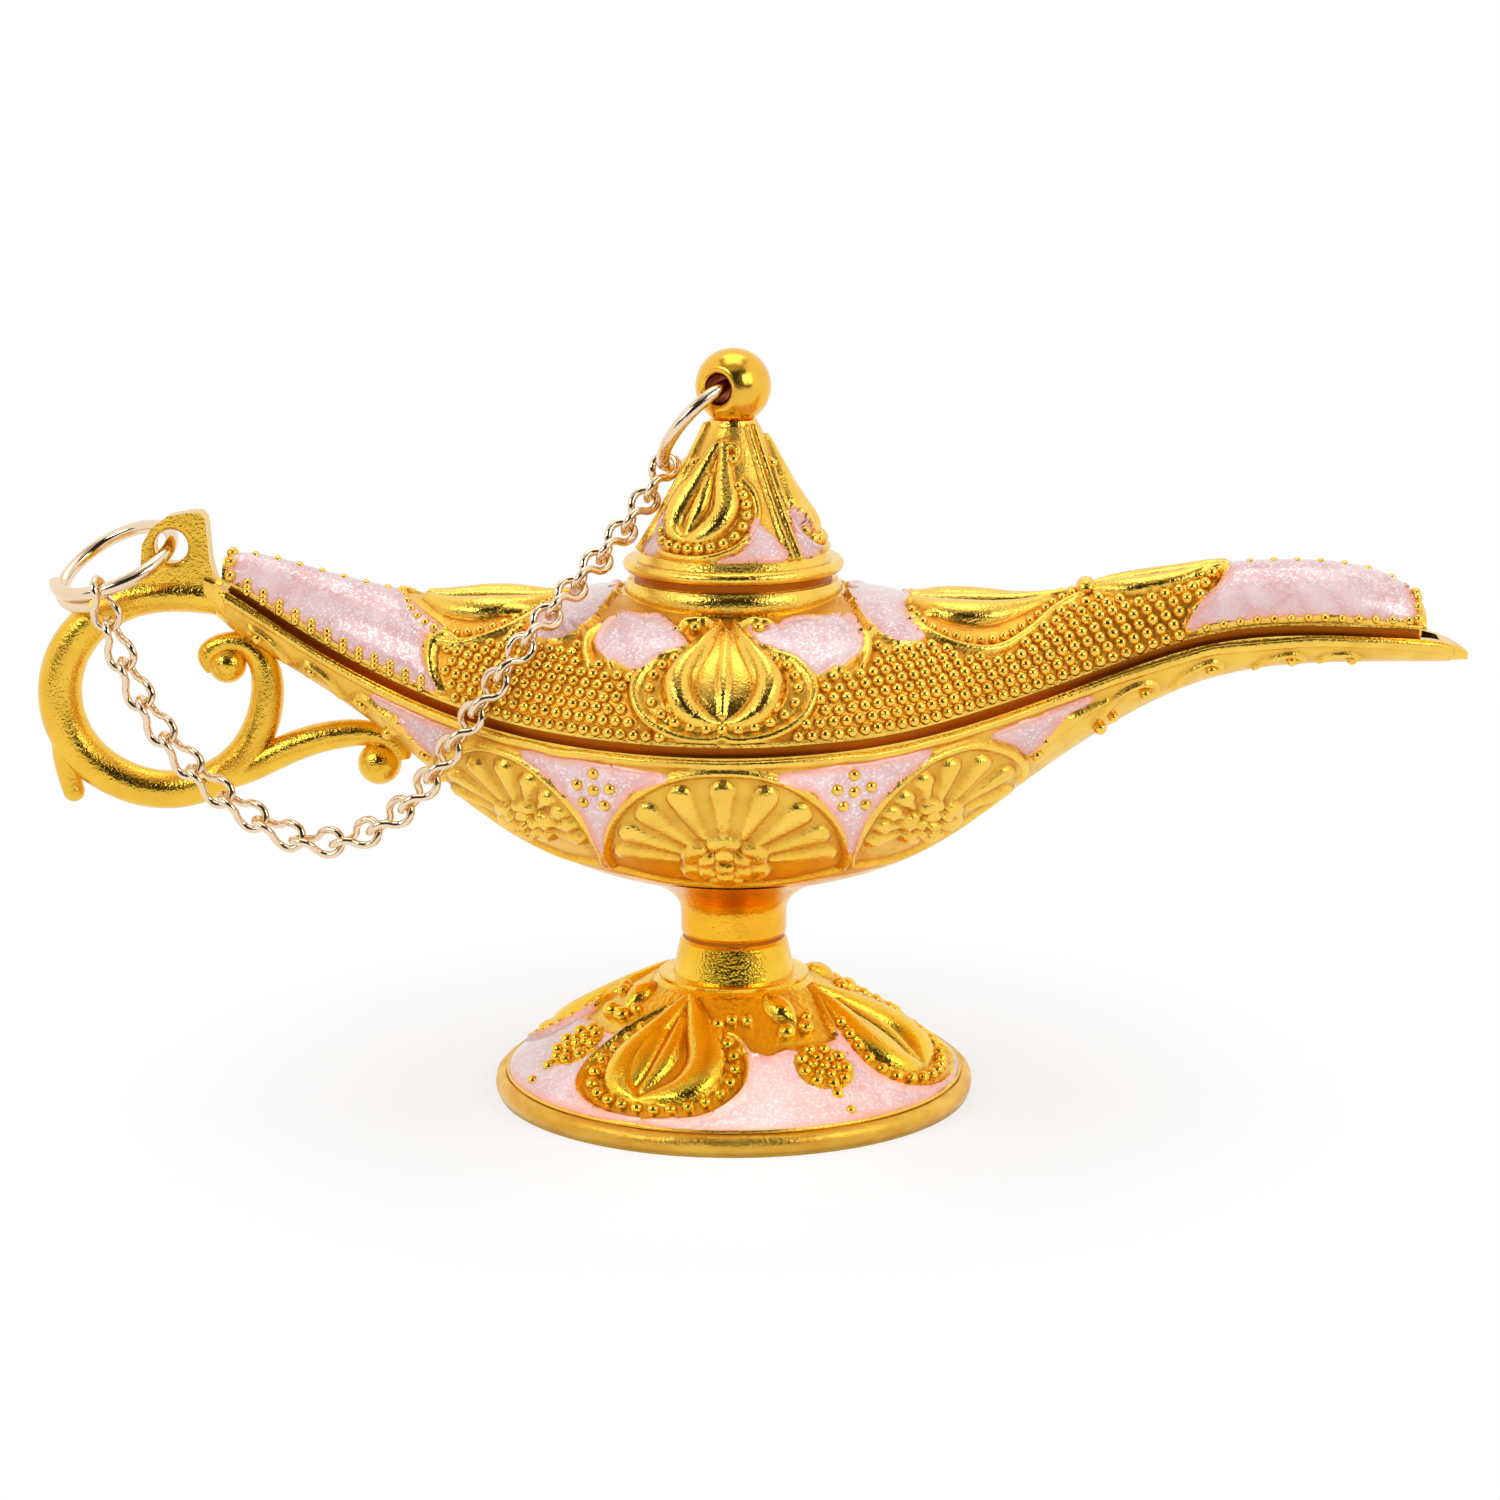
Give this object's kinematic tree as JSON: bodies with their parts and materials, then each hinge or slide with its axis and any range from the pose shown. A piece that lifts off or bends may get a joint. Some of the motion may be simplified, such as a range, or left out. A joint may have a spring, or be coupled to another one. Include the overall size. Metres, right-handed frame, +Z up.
{
  "type": "genie oil lamp",
  "caption": "Boat-shaped gilt oil lamp on a flared foot, with a long spout, scroll handle and a conical lid kept by a fine curb chain; bead relief and enamel fields.",
  "frame": {"origin": "centre of the foot's underside, on the surface that the lamp stands on", "axes": "+X along the lamp to the spout, -X to the handle, -Y the side seen in the picture, +Z up"},
  "size_m": [0.1301, 0.0436, 0.0687],
  "materials": {
    "cast_gold": "bright gilt casting, granulated",
    "screw_brass": "plain turned",
    "pale_gold": "polished pale gilt",
    "enamel": "pearl pink enamel",
    "groove": "dark amber wash in the groove"
  },
  "bodies": {
    "lamp": {"lower_body": "cast_gold", "handle": "cast_gold", "top_shell": "cast_gold", "foot": "cast_gold", "foot_screw": "screw_brass", "screw_washer": "screw_brass"},
    "lid": {"lid": "cast_gold", "lid_finial": "cast_gold"},
    "lid_ring": {"lid_ring": "pale_gold"},
    "handle_ring": {"handle_ring": "pale_gold"},
    "chain_link_01": {"chain_link_01": "pale_gold"},
    "chain_link_02": {"chain_link_02": "pale_gold"},
    "chain_link_03": {"chain_link_03": "pale_gold"},
    "chain_link_04": {"chain_link_04": "pale_gold"},
    "chain_link_05": {"chain_link_05": "pale_gold"},
    "chain_link_06": {"chain_link_06": "pale_gold"},
    "chain_link_07": {"chain_link_07": "pale_gold"},
    "chain_link_08": {"chain_link_08": "pale_gold"},
    "chain_link_09": {"chain_link_09": "pale_gold"},
    "chain_link_10": {"chain_link_10": "pale_gold"},
    "chain_link_11": {"chain_link_11": "pale_gold"},
    "chain_link_12": {"chain_link_12": "pale_gold"},
    "chain_link_13": {"chain_link_13": "pale_gold"},
    "chain_link_14": {"chain_link_14": "pale_gold"},
    "chain_link_15": {"chain_link_15": "pale_gold"},
    "chain_link_16": {"chain_link_16": "pale_gold"},
    "chain_link_17": {"chain_link_17": "pale_gold"},
    "chain_link_18": {"chain_link_18": "pale_gold"},
    "chain_link_19": {"chain_link_19": "pale_gold"},
    "chain_link_20": {"chain_link_20": "pale_gold"},
    "chain_link_21": {"chain_link_21": "pale_gold"},
    "chain_link_22": {"chain_link_22": "pale_gold"}
  },
  "joints": [
    {"name": "lid_lift", "type": "slide", "parent": "lamp", "child": "lid", "axis": [0, 0, 1], "range_m": [0, 0.018]},
    {"name": "handle_ring_swing", "type": "hinge", "parent": "lamp", "child": "handle_ring", "pos_m": [-0.051, 0, 0.0505], "axis": [0, 1, 0], "range_deg": [-0.21, 10.52]},
    {"name": "lid_ring_swing", "type": "hinge", "parent": "lid", "child": "lid_ring", "pos_m": [0, 0, 0.06525], "axis": [0.4848, 0.8746, 0], "range_deg": [-0.02, 1.02]},
    {"name": "chain_link_01_swing", "type": "hinge", "parent": "lamp", "child": "chain_link_01", "pos_m": [-0.07318, -0.00467, 0.04208], "axis": [0, -1, 0], "range_deg": [-0.08, 4.15]},
    {"name": "chain_link_02_swing", "type": "hinge", "parent": "lamp", "child": "chain_link_02", "pos_m": [-0.05881, -0.00479, 0.04408], "axis": [0, -1, 0], "range_deg": [-0.52, 26.69]},
    {"name": "chain_link_03_swing", "type": "hinge", "parent": "lamp", "child": "chain_link_03", "pos_m": [-0.05822, -0.00521, 0.04371], "axis": [0, -1, 0], "range_deg": [-0.6, 30.58]},
    {"name": "chain_link_04_swing", "type": "hinge", "parent": "lamp", "child": "chain_link_04", "pos_m": [-0.05828, -0.00578, 0.04375], "axis": [0, -1, 0], "range_deg": [-0.6, 30.36]},
    {"name": "chain_link_05_swing", "type": "hinge", "parent": "lamp", "child": "chain_link_05", "pos_m": [-0.05861, -0.00639, 0.04403], "axis": [0, -1, 0], "range_deg": [-0.57, 29.33]},
    {"name": "chain_link_06_swing", "type": "hinge", "parent": "lamp", "child": "chain_link_06", "pos_m": [-0.05919, -0.00704, 0.04453], "axis": [0, -1, 0], "range_deg": [-0.55, 28.04]},
    {"name": "chain_link_07_swing", "type": "hinge", "parent": "lamp", "child": "chain_link_07", "pos_m": [-0.06007, -0.00775, 0.04521], "axis": [0, -1, 0], "range_deg": [-0.52, 26.64]},
    {"name": "chain_link_08_swing", "type": "hinge", "parent": "lamp", "child": "chain_link_08", "pos_m": [-0.06131, -0.0085, 0.04609], "axis": [0, -1, 0], "range_deg": [-0.49, 25.16]},
    {"name": "chain_link_09_swing", "type": "hinge", "parent": "lamp", "child": "chain_link_09", "pos_m": [-0.063, -0.0093, 0.04718], "axis": [0, -1, 0], "range_deg": [-0.46, 23.62]},
    {"name": "chain_link_10_swing", "type": "hinge", "parent": "lamp", "child": "chain_link_10", "pos_m": [-0.06538, -0.0101, 0.04849], "axis": [0, -1, 0], "range_deg": [-0.43, 21.95]},
    {"name": "chain_link_11_swing", "type": "hinge", "parent": "lamp", "child": "chain_link_11", "pos_m": [-0.06873, -0.01086, 0.05], "axis": [0, -1, 0], "range_deg": [-0.39, 20.13]},
    {"name": "chain_link_12_swing", "type": "hinge", "parent": "lamp", "child": "chain_link_12", "pos_m": [-0.07332, -0.0116, 0.05166], "axis": [0, -1, 0], "range_deg": [-0.36, 18.18]},
    {"name": "chain_link_13_swing", "type": "hinge", "parent": "lamp", "child": "chain_link_13", "pos_m": [-0.07892, -0.01229, 0.05324], "axis": [0, -1, 0], "range_deg": [-0.32, 16.32]},
    {"name": "chain_link_14_swing", "type": "hinge", "parent": "lamp", "child": "chain_link_14", "pos_m": [-0.08584, -0.0129, 0.05473], "axis": [0, -1, 0], "range_deg": [-0.29, 14.54]},
    {"name": "chain_link_15_swing", "type": "hinge", "parent": "lamp", "child": "chain_link_15", "pos_m": [-0.09447, -0.01328, 0.05608], "axis": [0, -1, 0], "range_deg": [-0.25, 12.85]},
    {"name": "chain_link_16_swing", "type": "hinge", "parent": "lamp", "child": "chain_link_16", "pos_m": [-0.10552, -0.0129, 0.0573], "axis": [0, -1, 0], "range_deg": [-0.22, 11.21]},
    {"name": "chain_link_17_swing", "type": "hinge", "parent": "lamp", "child": "chain_link_17", "pos_m": [-0.12022, -0.01128, 0.05835], "axis": [0, -1, 0], "range_deg": [-0.19, 9.62]},
    {"name": "chain_link_18_swing", "type": "hinge", "parent": "lamp", "child": "chain_link_18", "pos_m": [-0.14093, -0.00884, 0.05934], "axis": [0, -1, 0], "range_deg": [-0.16, 8.04]},
    {"name": "chain_link_19_swing", "type": "hinge", "parent": "lamp", "child": "chain_link_19", "pos_m": [-0.17245, -0.00632, 0.06029], "axis": [0, -1, 0], "range_deg": [-0.13, 6.45]},
    {"name": "chain_link_20_swing", "type": "hinge", "parent": "lamp", "child": "chain_link_20", "pos_m": [-0.22631, -0.00395, 0.06117], "axis": [0, -1, 0], "range_deg": [-0.09, 4.84]},
    {"name": "chain_link_21_swing", "type": "hinge", "parent": "lamp", "child": "chain_link_21", "pos_m": [-0.33845, -0.00175, 0.06177], "axis": [0, -1, 0], "range_deg": [-0.06, 3.19]},
    {"name": "chain_link_22_swing", "type": "hinge", "parent": "lamp", "child": "chain_link_22", "pos_m": [-0.68868, 0.00015, 0.06086], "axis": [0, -1, 0], "range_deg": [-0.03, 1.55]}
  ],
  "couplings": [
    {"joint": "handle_ring_swing", "follows": "lid_lift", "rad_per_m": 10.001},
    {"joint": "lid_ring_swing", "follows": "lid_lift", "rad_per_m": 0.96963},
    {"joint": "chain_link_01_swing", "follows": "lid_lift", "rad_per_m": 3.9497},
    {"joint": "chain_link_02_swing", "follows": "lid_lift", "rad_per_m": 25.377},
    {"joint": "chain_link_03_swing", "follows": "lid_lift", "rad_per_m": 29.068},
    {"joint": "chain_link_04_swing", "follows": "lid_lift", "rad_per_m": 28.858},
    {"joint": "chain_link_05_swing", "follows": "lid_lift", "rad_per_m": 27.878},
    {"joint": "chain_link_06_swing", "follows": "lid_lift", "rad_per_m": 26.656},
    {"joint": "chain_link_07_swing", "follows": "lid_lift", "rad_per_m": 25.321},
    {"joint": "chain_link_08_swing", "follows": "lid_lift", "rad_per_m": 23.918},
    {"joint": "chain_link_09_swing", "follows": "lid_lift", "rad_per_m": 22.454},
    {"joint": "chain_link_10_swing", "follows": "lid_lift", "rad_per_m": 20.871},
    {"joint": "chain_link_11_swing", "follows": "lid_lift", "rad_per_m": 19.132},
    {"joint": "chain_link_12_swing", "follows": "lid_lift", "rad_per_m": 17.28},
    {"joint": "chain_link_13_swing", "follows": "lid_lift", "rad_per_m": 15.517},
    {"joint": "chain_link_14_swing", "follows": "lid_lift", "rad_per_m": 13.826},
    {"joint": "chain_link_15_swing", "follows": "lid_lift", "rad_per_m": 12.212},
    {"joint": "chain_link_16_swing", "follows": "lid_lift", "rad_per_m": 10.658},
    {"joint": "chain_link_17_swing", "follows": "lid_lift", "rad_per_m": 9.1455},
    {"joint": "chain_link_18_swing", "follows": "lid_lift", "rad_per_m": 7.6433},
    {"joint": "chain_link_19_swing", "follows": "lid_lift", "rad_per_m": 6.132},
    {"joint": "chain_link_20_swing", "follows": "lid_lift", "rad_per_m": 4.5977},
    {"joint": "chain_link_21_swing", "follows": "lid_lift", "rad_per_m": 3.0319},
    {"joint": "chain_link_22_swing", "follows": "lid_lift", "rad_per_m": 1.4733}
  ]
}
